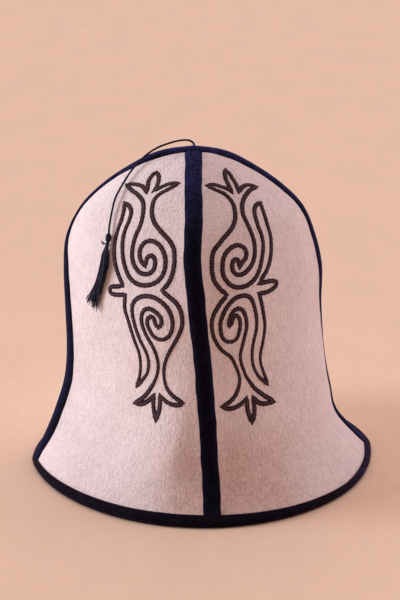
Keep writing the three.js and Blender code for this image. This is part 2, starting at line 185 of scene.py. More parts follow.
# Scroll on the front left gore, each line of it by points in the photograph's frame
SCROLL_LEFT = {
    "upper middle petal, right": (
        (156.2, 171.5), (158.2, 176), (158, 180), (157, 184), (155.5, 187.5), (152, 191.5)),
    "upper middle petal, left": (
        (156, 171.8), (153.3, 173), (150.8, 176.2), (148.3, 180), (147.4, 184), (147, 188),
        (146, 192.5)),
    "upper outer petal": (
        (126, 184.2), (131, 183.4), (135.5, 183.9), (139.5, 184.8), (143, 186.8), (146, 192)),
    "upper inner petal": (
        (178.5, 182.7), (174.3, 182.5), (170.2, 183), (166, 184.2), (161.8, 186), (158.5, 188),
        (154, 190.5)),
    "inner side, upper": (
        (178.5, 182.7), (175, 184.7), (166, 189.7), (158.5, 194), (153.5, 199.7), (151.5, 208),
        (151.5, 214), (153.5, 221.5), (160, 230.5), (168.7, 240), (173, 248), (173.9, 256),
        (173.4, 266), (171, 276), (166.5, 284.5), (161, 290)),
    "inner side, lower": (
        (161, 290), (168, 296), (175, 302), (180, 310.5), (181.7, 320), (180.6, 328.5),
        (177, 337), (170, 349.5), (165.2, 360), (163.3, 370), (164, 380), (167, 389),
        (173, 396), (183, 402.8)),
    "lower inner petal": (
        (183, 402.8), (178.5, 404.5), (173, 404.4), (167, 402), (163, 398.8), (159, 394)),
    "lower middle petal, right": (
        (159, 394), (159.4, 399.5), (159.2, 405), (158.2, 411), (155, 421)),
    "lower middle petal, left": (
        (154, 394), (152.8, 399.5), (152.9, 405), (153.6, 411), (155, 421)),
    "lower outer petal": ((134, 402.7), (140.2, 403.5), (145, 402), (150, 398.3), (154, 394)),
    "lower curl, inwards": (
        (134, 402.7), (142.7, 397), (149.3, 389), (155, 378.5), (157.6, 367.5), (156.6, 358),
        (152.5, 347), (145, 333.5), (141.2, 322.5), (141.2, 314.5), (144.2, 309.3), (149, 308.4),
        (156, 312.5), (160.4, 318), (160.6, 324), (157.5, 328)),
    "lower curl, outwards": (
        (157.5, 328), (154.6, 323), (153, 317.8), (150, 316.2), (147.4, 318), (146.7, 323),
        (149.5, 330.5), (154.5, 337), (162, 339.2), (168.5, 335.5), (171.8, 327), (171.3, 318),
        (167.5, 308.8), (160, 301), (152.7, 296.8), (145, 295.6), (137.5, 297.5), (132.5, 303),
        (131.6, 311), (134.2, 324.5), (139.5, 339.5), (146, 353), (148, 362), (146.8, 372),
        (141.5, 380), (136, 386)),
    "outer side, lower": (
        (136, 386), (138.8, 377), (140, 365), (138.6, 353), (133.7, 339.5), (128, 321),
        (124.4, 309), (124.2, 301), (125, 294)),
    "thumb": (
        (125, 294), (115.5, 294.2), (111, 292.8), (109.3, 289.3), (111.3, 286.2), (116, 286),
        (122, 285.5)),
    "outer side, upper": (
        (123, 286), (119, 277), (115.6, 267), (113.9, 256), (114, 244), (117, 230), (121, 219),
        (123.5, 209), (124, 202)),
    "leaf and upper curl, inwards": (
        (124, 202), (128.5, 205.5), (130.7, 210.5), (129, 219), (124.6, 229.5), (122.2, 240),
        (122, 252), (123.8, 264), (128.5, 276), (135.5, 282.8), (145.2, 284.9), (155.2, 282),
        (161.8, 275), (164.9, 264), (163.8, 254), (159, 245), (152, 240.6), (145, 241.5),
        (140.4, 247), (139, 254), (140.6, 260.5), (145, 266.5)),
    "upper curl, outwards": (
        (145, 266.5), (145.6, 260.5), (148, 255.8), (152.3, 255.8), (154.5, 261), (153, 269),
        (147.5, 273.4), (140.2, 272.5), (134.4, 266.2), (131.6, 257), (132, 247.5),
        (135, 235.5), (140, 224), (142.6, 212), (142.3, 201), (137, 194), (131.5, 190),
        (126, 184.2)),
}

# Scroll on the front right gore
SCROLL_RIGHT = {
    "upper middle petal, left": (
        (225.1, 168.9), (224.2, 172.8), (225.1, 177.8), (226.7, 181.7), (228.3, 185.1),
        (230.1, 188.6), (231.8, 192.5)),
    "upper middle petal, right": (
        (225.3, 169.3), (228.2, 172.3), (230.6, 175.6), (231.8, 177.8), (234.4, 181.7),
        (236.6, 186.2), (238.1, 191.7)),
    "upper inner petal": (
        (206, 185.1), (211.7, 184.2), (216.2, 184.6), (220.6, 186.2), (225.1, 187.6),
        (228.9, 189.5), (231.8, 192.5)),
    "upper outer petal": (
        (256.2, 186.2), (252.8, 185.1), (249.5, 184.5), (246.2, 184.5), (242.8, 185.9),
        (240.6, 188.2), (238.2, 191.9)),
    "inner side, upper": (
        (206, 185.1), (210.6, 187.3), (215.1, 189.3), (220.6, 191.6), (225, 194.2),
        (229.3, 198.4), (232.7, 203.9), (234.2, 209.5), (234.9, 215.1), (234.3, 220.6),
        (232.2, 226.2), (228.4, 231.7), (223.5, 237.3), (218.2, 244), (213.9, 249.5),
        (212.3, 254), (211.5, 259.5), (211.4, 265.1), (211.6, 270.6), (212.6, 276.2),
        (213.9, 280.6), (216.9, 285.1), (220.6, 289.5), (227, 294.4)),
    "inner side, lower": (
        (227, 294.4), (224.5, 297.3), (221.2, 301.2), (218.4, 305.1), (216.2, 308.9),
        (213.9, 312.8), (212.3, 317.3), (211.3, 322.5), (211.4, 327.3), (211.9, 331),
        (213.1, 336.2), (215.6, 341.7), (218.4, 346.2), (221.3, 349.5), (225.3, 352.8),
        (228.7, 355.1), (231.7, 358.4), (234.4, 363.9), (236.8, 369.5), (238.9, 376),
        (239.1, 381.7), (238.3, 386.2), (236.9, 390.6), (234.8, 395.1), (232.3, 398.4),
        (228.9, 401.7), (224.5, 404.5), (221, 406.2)),
    "lower inner petal": (
        (221, 406.2), (225.1, 407.6), (229.5, 408.2), (233.9, 407.2), (238, 405.2),
        (241.7, 402.6), (244.2, 400.2), (246.2, 396.4)),
    "lower middle petal, left": (
        (246.2, 397), (246.7, 401.7), (246.7, 406.2), (247.5, 410.6), (248.9, 415.1),
        (251.7, 422.8)),
    "lower middle petal, right": (
        (252, 396), (253.2, 401.7), (253.9, 406.2), (253.9, 410.6), (253.6, 415.1),
        (251.9, 422.8)),
    "lower outer petal": (
        (273.7, 401.3), (268.9, 402.2), (264.5, 403.2), (260.1, 402.8), (256.2, 400.4),
        (252.4, 396)),
    "lower curl, inwards": (
        (273.7, 401.3), (269.5, 398.4), (265.1, 395.9), (260.6, 392.8), (256.2, 389.5),
        (252.8, 386.2), (250.1, 382.3), (247.3, 378.4), (245.1, 374.5), (243.2, 369.5),
        (241.5, 365.1), (240.4, 360.6), (239.9, 356.2), (240.3, 351.7), (241.4, 347.3),
        (242.8, 341.7), (243.9, 337.3), (245.3, 331.7), (246.2, 326.2), (245.8, 319.5),
        (244.2, 313.4), (242.3, 310.1), (238.9, 308.1), (235.6, 308.9), (232.8, 311.2),
        (230.6, 315.1), (228.9, 319.5), (228.3, 323.9), (228.9, 326.7)),
    "lower curl, outwards": (
        (229.3, 326.7), (231.2, 322.8), (232.3, 318.9), (233.9, 315.8), (236.2, 315.3),
        (238.4, 317.3), (239.6, 321.2), (239.6, 326.5), (238.9, 330.6), (237.3, 336.2),
        (234.6, 339.7), (229.5, 341.4), (224.8, 340.1), (221.7, 336.2), (220.3, 330.6),
        (219.9, 325.1), (220.3, 320.9), (221.7, 316.5), (223.7, 311.7), (226.9, 306.2),
        (230.6, 301.7), (234.2, 298.4), (238.4, 296.2), (243.9, 295.1), (248.4, 296.2),
        (251.2, 298.9), (252.8, 302.8), (254.5, 308.4), (255.8, 315.1), (256.3, 321.7),
        (255.8, 330), (254.3, 336.2), (253.1, 341.7), (252.1, 347.3), (251.7, 352.8),
        (251.7, 358.4), (252.5, 363.9), (253.9, 368.4), (256.2, 372.8), (259.5, 377.3),
        (263.4, 380.6), (267.2, 384)),
    "outer side, lower": (
        (267.2, 384), (266.2, 380.1), (264.3, 375.1), (262.3, 369.5), (260.6, 363.9),
        (259.8, 358.4), (260.1, 352.8), (261.2, 347.3), (262.4, 341.7), (263.3, 336.2),
        (264.1, 330.6), (264.4, 324), (263.7, 317.3), (262.8, 311.7), (261.9, 306.2),
        (260.6, 300.6), (259.5, 296.2), (258, 292.6)),
    "thumb": (
        (257.8, 292.5), (260.6, 292.8), (265.1, 291.9), (269.5, 290.1), (273.4, 287.3),
        (276.2, 283.9), (276, 281.6), (273.4, 280.5), (269.5, 280.6), (265.1, 281.5),
        (261.2, 282.6), (257.8, 283.6)),
    "outer side, upper": (
        (258.9, 282.5), (261.7, 277.8), (263.9, 273.9), (266.2, 270.1), (267.8, 265.6),
        (269.3, 260.6), (270.3, 255.1), (270.7, 249.5), (270.7, 242.8), (270.3, 237.3),
        (269.2, 231.7), (267.5, 226.2), (265.8, 220.6), (264.2, 215.1), (262.3, 209.5),
        (260.9, 205.1), (260.2, 202)),
    "leaf and upper curl, inwards": (
        (260.2, 202), (256.7, 203.6), (254.7, 206.2), (253.9, 210.6), (254.7, 215.6),
        (256.2, 220.6), (257.8, 226.2), (260.1, 231.7), (261.7, 237.3), (262.7, 243.5),
        (262.5, 250.6), (261.7, 256.2), (260.8, 261.7), (259.6, 267.3), (257.6, 272.8),
        (255.1, 277.3), (251.2, 281.7), (246.2, 285.1), (240.6, 286.7), (235.1, 286.7),
        (230.1, 284.5), (226.2, 280.6), (223.4, 276.2), (222.2, 271.7), (222, 266.2),
        (222.5, 260.6), (223.7, 256.2), (226.2, 251.7), (230.1, 247.8), (234.5, 245.2),
        (238.6, 244.8), (242.3, 246.4), (245.1, 249.5), (245.9, 253.9), (245.1, 257.8),
        (242.3, 261.2), (240.3, 264.5), (239.1, 268)),
    "upper curl, outwards": (
        (239.1, 268), (238.5, 263.9), (237.9, 260.8), (236.2, 258.8), (233.7, 259.5),
        (232.1, 262.3), (231.7, 266.2), (232.5, 270.1), (234.5, 272.8), (237.5, 274.4),
        (241.2, 273.9), (245.1, 271.7), (248.9, 267.8), (251.7, 263.4), (253.4, 258.4),
        (254.3, 253.4), (254.4, 248.4), (253.9, 242.8), (252.6, 237.3), (250.6, 231.7),
        (248.2, 226.2), (245.6, 220.6), (243, 215.1), (241.9, 209.5), (241.8, 203.9),
        (242.9, 199.5), (244.4, 196.2), (246.7, 192.8), (249.5, 189.7), (256.2, 186.2)),
}


class HatSizes(bpy.types.PropertyGroup):
    """Sizes of the sewn pieces."""

    wall: bpy.props.FloatProperty(
        name="Felt thickness", description="Thickness of the felt", default=0.0028, unit="LENGTH")
    tape_width: bpy.props.FloatProperty(
        name="Tape width", description="Width of the seam tapes", default=0.0126, unit="LENGTH")
    tape_thick: bpy.props.FloatProperty(
        name="Tape thickness", description="Thickness of the tapes with their pile",
        default=0.0014, unit="LENGTH")
    binding_thick: bpy.props.FloatProperty(
        name="Binding thickness", description="Thickness of the brim's binding",
        default=0.0015, unit="LENGTH")
    line_width: bpy.props.FloatProperty(
        name="Stitched line", description="Width of the scroll's stitched lines",
        default=0.00348, unit="LENGTH")
    line_height: bpy.props.FloatProperty(
        name="Stitch height", description="How far the scroll stands out from the felt",
        default=0.0007, unit="LENGTH")
    link_length: bpy.props.FloatProperty(
        name="Chain link", description="Length of one link of the chain stitch",
        default=0.0022, unit="LENGTH")
    cord_diameter: bpy.props.FloatProperty(
        name="Cord diameter", description="Diameter of the tassel's cord", default=0.0016,
        unit="LENGTH")
    thread_count: bpy.props.IntProperty(
        name="Tassel threads", description="Number of threads in the tassel's skirt", default=90)


class HatColours(bpy.types.PropertyGroup):
    """Colours of the cloths, threads and floor."""

    felt: bpy.props.FloatVectorProperty(
        name="Felt", description="White wool felt", subtype="COLOR", default=(0.865, 0.745, 0.75))
    velvet: bpy.props.FloatVectorProperty(
        name="Velvet", description="Tapes and binding", subtype="COLOR",
        default=(0.003, 0.0025, 0.006))
    thread: bpy.props.FloatVectorProperty(
        name="Scroll thread", description="Dark thread of the scrolls", subtype="COLOR",
        default=(0.007, 0.002, 0.006))
    yarn: bpy.props.FloatVectorProperty(
        name="Tassel yarn", description="Cord and tassel", subtype="COLOR",
        default=(0.004, 0.005, 0.012))
    floor: bpy.props.FloatVectorProperty(
        name="Floor", description="Plain floor", subtype="COLOR", default=(0.83, 0.615, 0.465))


# The felt's surface


def section_at(level):
    """Values of the columns at a level, which counts sections from the brim: a Catmull-Rom curve
    through the table's rows, with the rows past its ends reflected."""
    level = np.asarray(level, float)
    below = 2 * SECTIONS[:1] - SECTIONS[1:2]
    above = 2 * SECTIONS[-1:] - SECTIONS[-2:-1]
    rows = np.concatenate([below, SECTIONS, above])
    row = np.clip(np.floor(level), 0, APEX - 1).astype(int)
    t = (level - row)[..., None]
    a, b, c, d = (rows[row + step] for step in range(4))
    square = 2 * a - 5 * b + 4 * c - d
    cube = 3 * b - a - 3 * c + d
    values = 0.5 * (2 * b + (c - a) * t + square * t**2 + cube * t**3)
    return dict(zip(COLUMNS, np.moveaxis(values, -1, 0)))


LEVELS = np.linspace(0, APEX, 4001)
HEIGHTS = section_at(LEVELS)["z"]


def level_at(height):
    """Level at a height, read back from the heights of many levels."""
    return np.interp(height, HEIGHTS, LEVELS)


def seam_place(section, seam):
    """Direction of a seam: a quarter turn for each, the place of the seams, its swing, and the
    wander of the seams in view."""
    quarter = np.asarray(seam) % 4
    place = 90 * np.asarray(seam) + section["seam"] + SWING_SHARES[quarter] * section["swing"]
    wanders = ((RIGHT, "right_wander"), (LEFT, "left_wander"), (FRONT, "front_wander"))
    for side, column in wanders:
        place = place + np.where(quarter == side, section[column], 0)
    return np.radians(place)


def unevenness(height, direction):
    """Small waves round and up the felt, which was shaped by hand: a sum of sines of the direction
    and the height."""
    return WAVE_HEIGHT * sum(
        np.sin(turns * direction + height / rise + phase) for turns, rise, phase in FELT_WAVES)


def radius_at(section, direction):
    """Radius of a section: a Lamé curve whose corners follow the folds, a low bell-shaped ridge
    at each seam, and the unevenness, which fades out at the brim and the apex."""
    across = np.cos(direction)
    share = np.where(across < 0, SWING_SHARES[LEFT], SWING_SHARES[RIGHT])
    side_turn = section["seam"] + share * section["swing"]
    turn = section["turn"] + (side_turn - section["turn"]) * across**2
    fold = direction - np.radians(turn)
    c, s = np.cos(fold), np.sin(fold)
    front = np.where(c < 0, section["left"], section["right"])
    power = np.where(s < 0, front, section["back"])
    wide = np.abs(c) / np.maximum(section["side"], LEAST_RADIUS)
    deep = np.abs(s) / np.maximum(section["depth"], LEAST_RADIUS)
    plain = (wide**power + deep**power) ** (-1 / power)
    away = np.stack([direction - seam_place(section, seam) for seam in range(4)])
    from_seam = plain * np.abs(np.angle(np.exp(1j * away))).min(axis=0)
    full = np.minimum(plain / RIDGE_FULL, 1) * np.minimum(section["z"] / RIDGE_FULL, 1)
    ridge = RIDGE_HEIGHT * np.exp(-((from_seam / RIDGE_WIDTH) ** 2))
    return plain + full * (ridge + unevenness(section["z"], direction))


def direction_at(section, bearing):
    """Direction of a bearing, which counts gores from the right seam: even from seam to seam."""
    gore = np.floor(bearing).astype(int)
    first = seam_place(section, gore)
    return first + (seam_place(section, gore + 1) - first) * (bearing - gore)


def felt_point(level, bearing):
    """Point of the felt's outer face: the section's centre and its radius in the direction."""
    level, bearing = np.broadcast_arrays(np.asarray(level, float), np.asarray(bearing, float))
    section = section_at(level)
    direction = direction_at(section, bearing)
    radius = radius_at(section, direction)
    x = section["shift"] + radius * np.cos(direction)
    return np.stack([x, radius * np.sin(direction), section["z"]], -1)


def radial_at(level, bearing):
    """Level unit vector from the section's centre in a bearing's direction."""
    level, bearing = np.broadcast_arrays(np.asarray(level, float), np.asarray(bearing, float))
    direction = direction_at(section_at(level), bearing)
    return np.stack([np.cos(direction), np.sin(direction), np.zeros_like(direction)], -1)


def unit(vectors):
    """The vectors at length one."""
    return vectors / np.linalg.norm(vectors, axis=-1, keepdims=True)


def upright_normal(level, bearing):
    """Normal of the felt in the upright plane of a bearing, so that gores meet on one plane: the
    slope up the felt, turned a quarter outwards in that plane."""
    slope = felt_point(level + SLOPE_REACH, bearing) - felt_point(level - SLOPE_REACH, bearing)
    radial = radial_at(level, bearing)
    normal = radial * slope[..., 2:]
    normal[..., 2] -= (slope * radial).sum(-1)
    return unit(normal)


def felt_normal(level, bearing):
    """Normal of the felt: the slope round it crossed with the slope up it."""
    up = felt_point(level + SLOPE_REACH, bearing) - felt_point(level - SLOPE_REACH, bearing)
    round_it = felt_point(level, bearing + SLOPE_REACH) - felt_point(level, bearing - SLOPE_REACH)
    return unit(np.cross(round_it, up))


def binding_top(bearing):
    """Height of the binding's upper edge, sewn deeper at the front and shallower beside it:
    straight between the table's bearings."""
    return np.interp(bearing, *BINDING_TOPS.T)


def is_outside(points):
    """True for points outside the felt: further from the section's centre than its radius."""
    section = section_at(level_at(points[..., 2]))
    x, y = points[..., 0] - section["shift"], points[..., 1]
    outside = np.hypot(x, y) > radius_at(section, np.arctan2(y, x))
    return outside | (points[..., 2] >= SECTIONS[-1, 0])


def dropped_on_felt(starts, normals):
    """The starts moved along their normals to the felt, by halving the way to it."""
    low, high = (np.full(starts.shape[:-1], reach) for reach in DROP_REACH)
    for _ in range(DROP_HALVINGS):
        middle = (low + high) / 2
        outside = is_outside(starts - normals * middle[..., None])
        low = np.where(outside, middle, low)
        high = np.where(outside, high, middle)
    return starts - normals * ((low + high) / 2)[..., None]


# Meshes


def grid_quads(index):
    """Corner numbers of the quads of a grid of point numbers."""
    corners = [index[:-1, :-1], index[:-1, 1:], index[1:, 1:], index[1:, :-1]]
    return np.stack(corners, -1).reshape(-1, 4)


def closed_sheet(upper, lower):
    """Points and faces of a skin round a sheet: its two sides, joined along their rims. The faces
    of a skin are a list of arrays of corner numbers."""
    rows, columns = upper.shape[:2]
    index = np.arange(rows * columns).reshape(rows, columns)
    below = rows * columns
    rim = np.concatenate([index[0, :-1], index[:-1, -1], index[-1, :0:-1], index[:0:-1, 0]])
    following = np.roll(rim, -1)
    walls = np.stack([rim, rim + below, following + below, following], -1)
    quads = np.concatenate([grid_quads(index), grid_quads(index + below)[:, ::-1], walls])
    return np.concatenate([upper.reshape(-1, 3), lower.reshape(-1, 3)]), [quads]


def closed_ring(loops):
    """Points and faces of a skin whose closed cross sections run round a ring."""
    rings, corners = loops.shape[:2]
    index = np.arange(rings * corners).reshape(rings, corners)
    return loops.reshape(-1, 3), [grid_quads(np.pad(index, (0, 1), mode="wrap"))]


def closed_tubes(loops):
    """Points and faces of many tubes, loops[tube, step, corner]: quads along each tube, and
    triangles that draw its ends to the middles of their loops."""
    tubes, steps, corners = loops.shape[:3]
    index = np.arange(tubes * steps * corners).reshape(tubes, steps, corners)
    index = np.concatenate([index, index[:, :, :1]], axis=2)
    quads = np.concatenate([grid_quads(tube) for tube in index])
    ends = np.concatenate([loops[:, 0].mean(1), loops[:, -1].mean(1)])
    first = tubes * steps * corners + np.arange(tubes)[:, None]
    last = first + tubes
    head = np.stack(np.broadcast_arrays(index[:, 0, 1:], index[:, 0, :-1], first), -1)
    foot = np.stack(np.broadcast_arrays(index[:, -1, :-1], index[:, -1, 1:], last), -1)
    triangles = np.concatenate([head.reshape(-1, 3), foot.reshape(-1, 3)])
    return np.concatenate([loops.reshape(-1, 3), ends]), [quads, triangles]


def joined(skins):
    """Several skins of quads as one."""
    starts = np.cumsum([0] + [len(points) for points, _ in skins])
    quads = [faces[0] + start for (_, faces), start in zip(skins, starts)]
    return np.concatenate([points for points, _ in skins]), [np.concatenate(quads)]


def signed_volume(points, faces):
    """Volume inside the faces: a sixth of the triple products of fans from each first corner."""
    total = 0.0
    for corners in (points[part] for part in faces):
        for turn in range(1, corners.shape[1] - 1):
            products = corners[:, 0] * np.cross(corners[:, turn], corners[:, turn + 1])
            total += products.sum() / 6
    return total


def add_piece(name, skin, material, replaced=None, sharp=FELT_SHARP, tones=None):
    """Object at the origin with the skin as its mesh, in metres, its faces turned outwards, in
    place of a CAD node. Tones, one for each point, are kept as an attribute for the material."""
    points, faces = skin
    if signed_volume(points, faces) < 0:
        faces = [part[:, ::-1] for part in faces]
    mesh = bpy.data.meshes.new(name)
    mesh.from_pydata((points * MM).tolist(), [], [face for part in faces for face in part.tolist()])
    if mesh.validate():
        raise ValueError(f"{name} has faulty faces")
    mesh.shade_smooth()
    mesh.set_sharp_from_angle(angle=math.radians(sharp))
    mesh.materials.append(material)
    if tones is not None:
        mesh.attributes.new("tone", "FLOAT", "POINT").data.foreach_set("value", tones)
    piece = bpy.data.objects.new(name, mesh)
    bpy.context.scene.collection.objects.link(piece)
    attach(piece, BODY)
    if replaced:
        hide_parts(replaced)
    return piece


def run_along(path):
    """Distance along a path at each of its points."""
    return np.concatenate([[0], np.cumsum(np.linalg.norm(np.diff(path, axis=0), axis=1))])


def path_length(path):
    """Length of a path of points."""
    return run_along(path)[-1]


def smooth_path(points, count):
    """Evenly spaced points along a centripetal Catmull-Rom curve: each stretch is blended from
    its four neighbours, with knots a root of the distance apart."""
    points = np.asarray(points, float)
    p = np.concatenate([2 * points[:1] - points[1:2], points, 2 * points[-1:] - points[-2:-1]])
    knots = np.concatenate([[0], np.cumsum(np.sqrt(np.linalg.norm(np.diff(p, axis=0), axis=1)))])
    stretch = np.repeat(np.arange(len(points) - 1), PATH_PARTS)
    share = np.tile(np.arange(PATH_PARTS) / PATH_PARTS, len(points) - 1)
    stretch, share = np.append(stretch, len(points) - 2), np.append(share, 1.0)
    k = [knots[stretch + step][:, None] for step in range(4)]
    q = [p[stretch + step] for step in range(4)]
    t = k[1] + (k[2] - k[1]) * share[:, None]

    def between(a, b, start, end):
        return a + (b - a) * (t - start) / (end - start)

    first, second, third = (between(q[i], q[i + 1], k[i], k[i + 1]) for i in range(3))
    left = between(first, second, k[0], k[2])
    right = between(second, third, k[1], k[3])
    fine = between(left, right, k[1], k[2])
    run = run_along(fine)
    places = np.linspace(0, run[-1], count)
    return np.stack([np.interp(places, run, fine[:, axis]) for axis in range(p.shape[1])], -1)


def side_and_away(path, outward):
    """Two unit vectors across a path: sideways, and away along the outward hint."""
    along = unit(np.gradient(path, axis=-2))
    sideways = unit(np.cross(along, outward))
    return sideways, np.cross(sideways, along)


def ring_round(count, sideways, away):
    """Angles round a path, and the unit vectors there: sideways turned towards away."""
    angle = np.linspace(0, 2 * np.pi, count, endpoint=False)
    return angle, turned(angle, sideways, away)


def turned(angle, first, second):
    """Unit vectors at angles from a first vector towards a second, for each pair of them."""
    return (np.cos(angle)[:, None] * first[..., None, :]
            + np.sin(angle)[:, None] * second[..., None, :])


def waves(run, table):
    """Sum of sines along a run, each with its height, millimetres to a radian, and phase."""
    return sum(height * np.sin(run / length + phase) for height, length, phase in table)


# Materials


class Value:
    """A value in a material's nodes. Arithmetic on it adds Math nodes."""

    def __init__(self, finish, socket):
        self.finish = finish
        self.socket = socket

    def math(self, operation, first, second):
        return self.finish.node("ShaderNodeMath", {"operation": operation}, {0: first, 1: second})

    def __add__(self, other):
        return self.math("ADD", self, other)

    def __sub__(self, other):
        return self.math("SUBTRACT", self, other)

    def __rsub__(self, other):
        return self.math("SUBTRACT", other, self)

    def __mul__(self, other):
        return self.math("MULTIPLY", self, other)

    def __lt__(self, other):
        return self.math("LESS_THAN", self, other)

    def __gt__(self, other):
        return self.math("GREATER_THAN", self, other)

    def at_least(self, other):
        return self.math("MAXIMUM", self, other)

    __radd__ = __add__
    __rmul__ = __mul__


class Finish:
    """A material in the making, with one Principled shader. Sockets that are the same all over
    are set by name."""

    def __init__(self, name, constants):
        self.material = bpy.data.materials.new(name)
        self.material.use_nodes = True
        self.tree = self.material.node_tree
        self.shader = self.tree.nodes["Principled BSDF"]
        for socket, value in constants.items():
            self.shader.inputs[socket].default_value = value
        self.place = self.node("ShaderNodeTexCoord", output="Object")

    def node(self, kind, settings=None, sockets=None, output=0):
        """A new node's output: settings first, then the values or links of its sockets."""
        made = self.tree.nodes.new(kind)
        for name, value in (settings or {}).items():
            setattr(made, name, value)
        for name, value in (sockets or {}).items():
            self.feed(made.inputs[name], value)
        return Value(self, made.outputs[output])

    def feed(self, socket, value):
        if isinstance(value, Value):
            self.tree.links.new(value.socket, socket)
        else:
            socket.default_value = value

    def noise(self, scale, detail=3.0, roughness=0.55, stretch=(1, 1, 1)):
        """Noise of about the given number of grains a metre, from about -0.5 to 0.5."""
        place = self.node(
            "ShaderNodeMapping", None, {"Vector": self.place, "Scale": stretch})
        sockets = {"Vector": place, "Scale": scale, "Detail": detail, "Roughness": roughness}
        return self.node("ShaderNodeTexNoise", None, sockets) - 0.5

    def along(self, axis):
        """Place along the X, Y or Z axis in metres."""
        return self.node("ShaderNodeSeparateXYZ", None, {"Vector": self.place}, axis)

    def specks(self, scale, size, rarity):
        """One in the middle of a small share of scattered cells, and nought elsewhere."""
        sockets = {"Vector": self.place, "Scale": scale}
        near = self.node("ShaderNodeTexVoronoi", None, sockets, "Distance")
        lot = self.node("ShaderNodeTexVoronoi", None, sockets, "Color")
        return (near < size) * (lot > rarity)

    def mix(self, share, first, second):
        """Colour between two colours."""
        first, second = ((*colour, 1) if isinstance(colour, tuple) else colour
                         for colour in (first, second))
        return self.node(
            "ShaderNodeMix", {"data_type": "RGBA", "clamp_factor": True},
            {MIX_SHARE: share, MIX_FIRST: first, MIX_SECOND: second}, MIX_RESULT)

    def mottled(self, share, colour, dark, light):
        """A colour that changes between a dark and a light share of itself."""
        return self.mix(share, tinted(colour, dark), tinted(colour, light))

    def bump(self, height, strength, distance):
        sockets = {"Strength": strength, "Distance": distance, "Height": height}
        self.feed(self.shader.inputs["Normal"], self.node("ShaderNodeBump", None, sockets))

    def colour(self, value):
        self.feed(self.shader.inputs["Base Color"], value)


def tinted(colour, share):
    """A colour made darker or lighter by a share."""
    return tuple(min(max(channel * share, 0.0), 1.0) for channel in colour)


def felt_finish(colour):
    """Wool felt: cloudy tone, matted fibres lying all ways, specks, and a soft nap. Painted shade
    and warm bounce light make it darker and warmer low on the front and back, near the seams."""
    finish = Finish("wool_felt", {
        "Roughness": 0.95, "Specular IOR Level": 0.15, "Sheen Weight": 0.25,
        "Sheen Roughness": 0.6})
    clouds = finish.noise(38.0)
    clumps = finish.noise(170.0, detail=4.0, roughness=0.6, stretch=(1.0, 1.0, 0.8))
    fibres = finish.noise(560.0, detail=4.0, roughness=0.65, stretch=(1.0, 1.0, 0.62))
    tone = 0.5 + 0.7 * clouds + 1.1 * clumps + 2.8 * fibres
    wool = finish.mottled(tone, colour, dark=0.86, light=1.1)
    # Painted shade and warm bounce light: a darker, warmer copy of the felt, mixed in low on the
    # brim, most beside the front and back seams
    painted_shade = finish.mottled(tone, PAINTED_SHADE_FELT, dark=0.8, light=1.16)
    aside = finish.along("X") - PAINTED_SHADE_SIDE
    near = (1.2 - 330.0 * (aside * aside)).at_least(0.12)
    wool = finish.mix(near * (26.0 * (PAINTED_SHADE_TOP - finish.along("Z"))), wool, painted_shade)
    specks = finish.specks(70.0, size=0.035, rarity=0.8)
    finish.colour(finish.mix(specks, wool, tinted(colour, 0.12)))
    finish.bump(0.4 * clumps + fibres, strength=0.8, distance=0.0013)
    return finish.material


def velvet_finish(name, colour, sheen):
    """Cotton velvet: near black, with a short pile that catches light at its edges, worn paler in
    patches, and a navy painted sheen towards the crown and the right end, where the pile catches
    the light."""
    finish = Finish(name, {
        "Roughness": 0.85, "Specular IOR Level": 0.04, "Sheen Weight": 0.4,
        "Sheen Roughness": 0.4, "Sheen Tint": (*sheen, 1)})
    pile = finish.noise(1500.0, detail=2.0)
    nap = finish.noise(620.0, roughness=0.65)
    worn = finish.noise(70.0)
    share = 0.35 + 0.9 * worn + 4.6 * nap + 0.7 * pile
    plain = finish.mottled(share, colour, dark=0.4, light=2.9)
    # Painted sheen: a navy copy of the velvet, mixed in above a height and past a place on the
    # right
    navy = finish.mottled(share, PAINTED_SHEEN_NAVY, dark=0.35, light=2.3)
    past = (finish.along("Z") - PAINTED_SHEEN_HEIGHT).at_least(finish.along("X") - PAINTED_SHEEN_SIDE)
    painted_sheen = 22.0 * past * (0.6 + 2.6 * worn + 3.0 * nap)
    finish.colour(finish.mix(painted_sheen, plain, navy))
    finish.bump(pile + nap + 0.5 * worn, strength=0.6, distance=0.0009)
    return finish.material


def thread_finish(name, colour, fleck, grain, upright):
    """Twisted thread: dark, with paler flecks where the twist catches the light, so many grains a
    metre. The flecks are drawn out upright where the share for that is small."""
    finish = Finish(name, {"Roughness": 0.8, "Specular IOR Level": 0.12})
    twist = finish.noise(grain, roughness=0.6, stretch=(1.0, 1.0, upright))
    drift = finish.noise(120.0, detail=2.0)
    tone = finish.node("ShaderNodeAttribute", {"attribute_name": "tone"}, output="Fac")
    share = 0.2 + 2.0 * twist + 0.7 * drift + 1.1 * tone
    finish.colour(finish.mix(share, colour, fleck))
    finish.bump(twist, strength=0.5, distance=0.0005)
    return finish.material


def floor_finish(colour):
    """Plain pale paper with a faint mottle."""
    finish = Finish("plain_floor", {"Roughness": 0.9, "Specular IOR Level": 0.1})
    clouds = finish.noise(14.0, detail=5.0, roughness=0.65, stretch=(1.0, 0.45, 1.0))
    mottle = clouds + 0.6 * finish.noise(120.0)
    finish.colour(finish.mottled(0.5 + 1.2 * mottle, colour, dark=0.94, light=1.06))
    return finish.material


# Photograph to felt


def camera_axes():
    """Right, up and back vectors of the camera, which looks along +Y and down."""
    e = CAMERA_ELEVATION
    right = np.array([1.0, 0.0, 0.0])
    up = np.array([0.0, math.sin(e), math.cos(e)])
    back = np.array([0.0, -math.cos(e), math.sin(e)])
    return right, up, back


def to_frame(points):
    """Places of points in the photograph's frame: perspective with the camera's focal length."""
    right, up, back = camera_axes()
    away = points - CAMERA_TARGET
    scale = FOCAL_PX / (CAMERA_DISTANCE - away @ back)
    middle_x, middle_y = FRAME_PX[0] / 2, FRAME_PX[1] / 2
    return np.stack([middle_x + scale * (away @ right), middle_y - scale * (away @ up)], -1)


